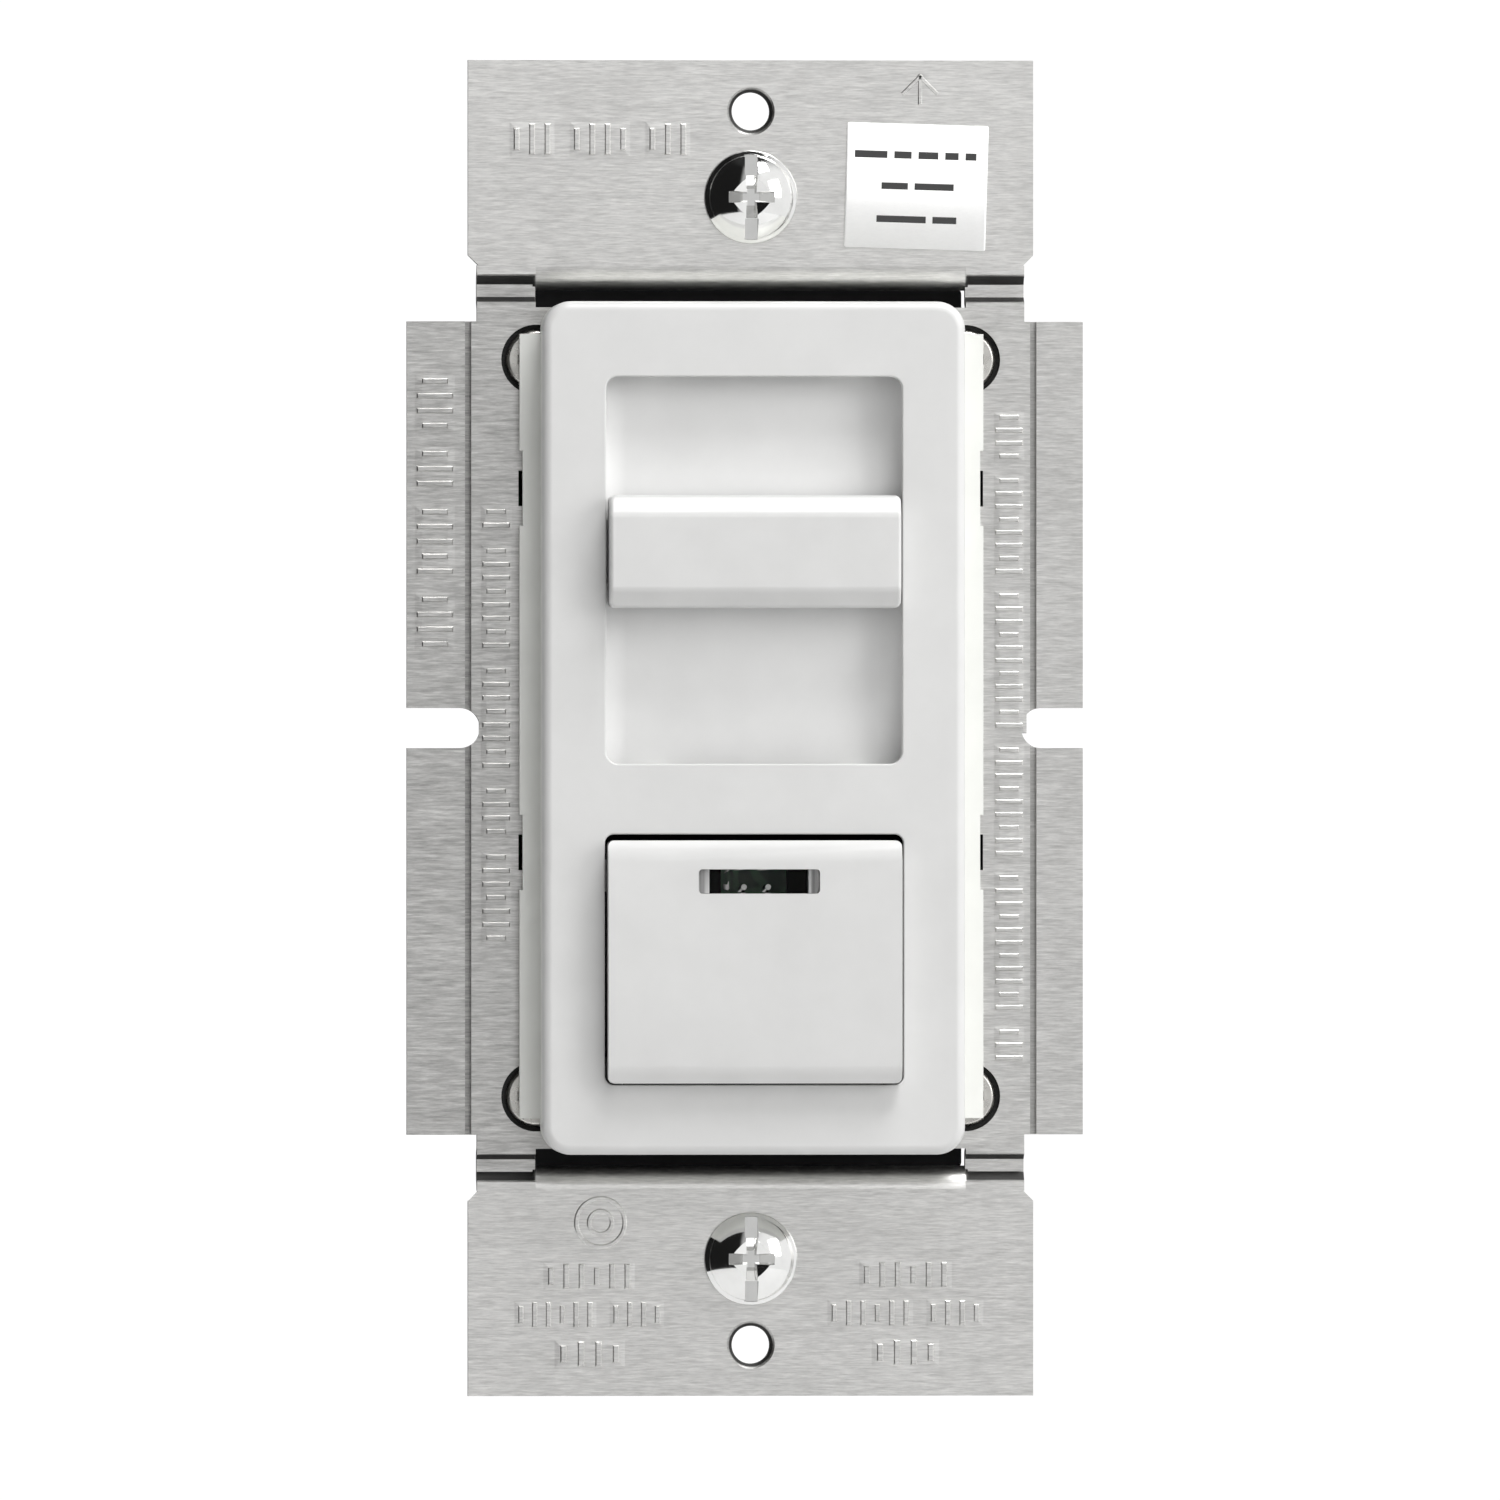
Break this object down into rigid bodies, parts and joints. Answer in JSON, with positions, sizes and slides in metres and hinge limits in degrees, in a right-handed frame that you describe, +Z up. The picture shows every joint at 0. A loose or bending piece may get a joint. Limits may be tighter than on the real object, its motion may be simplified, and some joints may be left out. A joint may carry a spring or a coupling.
{
  "type": "slide dimmer switch",
  "caption": "Wall-box slide dimmer with a wide slider bar, an on/off push pad with a locator window, a metal strap with break-off fins and a back housing.",
  "frame": {"origin": "midway between the wallplate screw holes, on the plane of the ears' back faces, which rest on the wall", "axes": "+Z up along the strap, -Y out of the wall towards the user, +X to the right as seen from the front"},
  "size_m": [0.0531, 0.0359, 0.1048],
  "materials": {
    "strap_metal": "zinc-plated steel with a fine brushed grain",
    "bright_screw": "bright nickel-plated screw",
    "plated_screw": "zinc-plated screw",
    "nylon": "natural nylon bushing",
    "label_paper": "white paper sticker",
    "white_plastic": "satin white moulded plastic",
    "gray_plastic": "moulded acetal",
    "black_plastic": "moulded black plastic",
    "contact_brass": "stamped brass",
    "plated_steel": "tin-plated sheet steel",
    "resistive_board": "phenolic strip with a carbon track",
    "tinned_metal": "tinned wire",
    "clear_lens": "clear moulded window",
    "lamp_glass": "clear body of the small locator lamp",
    "cream_plastic": "thermoset moulding",
    "spring_steel": "drawn spring wire",
    "green_board": "glass-epoxy circuit board",
    "tan_ceramic": "coated resistor body",
    "capacitor_sleeve": "shrink sleeve",
    "capacitor_film": "yellow epoxy case",
    "ferrite": "sintered ferrite ring",
    "copper_wire": "enamelled copper wire",
    "varistor_coat": "blue epoxy coat",
    "housing_plastic": "black moulded housing"
  },
  "bodies": {
    "chassis": {"mounting_strap": "strap_metal", "mounting_screws": "bright_screw", "screw_retainers": "nylon", "housing_screws": "plated_screw", "rating_label": "label_paper", "face_frame": "white_plastic", "track_plate": "white_plastic", "pot_case": "plated_steel", "pot_element": "resistive_board", "pot_terminals": "tinned_metal", "locator_lamp": "lamp_glass", "lamp_leads": "tinned_metal", "lamp_shroud": "black_plastic", "switch_case": "cream_plastic", "plunger_spring": "spring_steel", "fixed_contacts": "contact_brass", "inner_cover": "black_plastic", "control_board": "green_board", "control_board_screws": "plated_screw", "transistor": "black_plastic", "resistors": "tan_ceramic", "electrolytic_capacitor": "capacitor_sleeve", "board_link_pins": "contact_brass", "power_board": "green_board", "power_board_screws": "plated_screw", "film_capacitor": "capacitor_film", "choke_core": "ferrite", "choke_winding": "copper_wire", "varistor": "varistor_coat", "back_housing": "housing_plastic"},
    "slider": {"slider_bar": "white_plastic", "slider_carriage": "gray_plastic", "pot_lever": "black_plastic", "wiper_contacts": "contact_brass"},
    "pad": {"push_pad": "white_plastic", "locator_lens": "clear_lens"},
    "plunger": {"switch_plunger": "black_plastic", "contact_bridge": "contact_brass"}
  },
  "joints": [
    {"name": "slider_travel", "type": "slide", "parent": "chassis", "child": "slider", "axis": [0, 0, 1], "range_m": [-0.012, 0.009]},
    {"name": "pad_press", "type": "hinge", "parent": "chassis", "child": "pad", "pos_m": [0, -0.0039, -0.027], "axis": [-1, 0, 0], "range_deg": [0, 5]},
    {"name": "plunger_travel", "type": "slide", "parent": "chassis", "child": "plunger", "axis": [0, 1, 0], "range_m": [0, 0.00074], "stiffness_N_per_m": 1500, "springref_m": -0.0008, "deforming": ["plunger_spring"]}
  ],
  "couplings": [
    {"joint": "pad_press", "follows": "plunger_travel", "rad_per_m": 117.6}
  ]
}
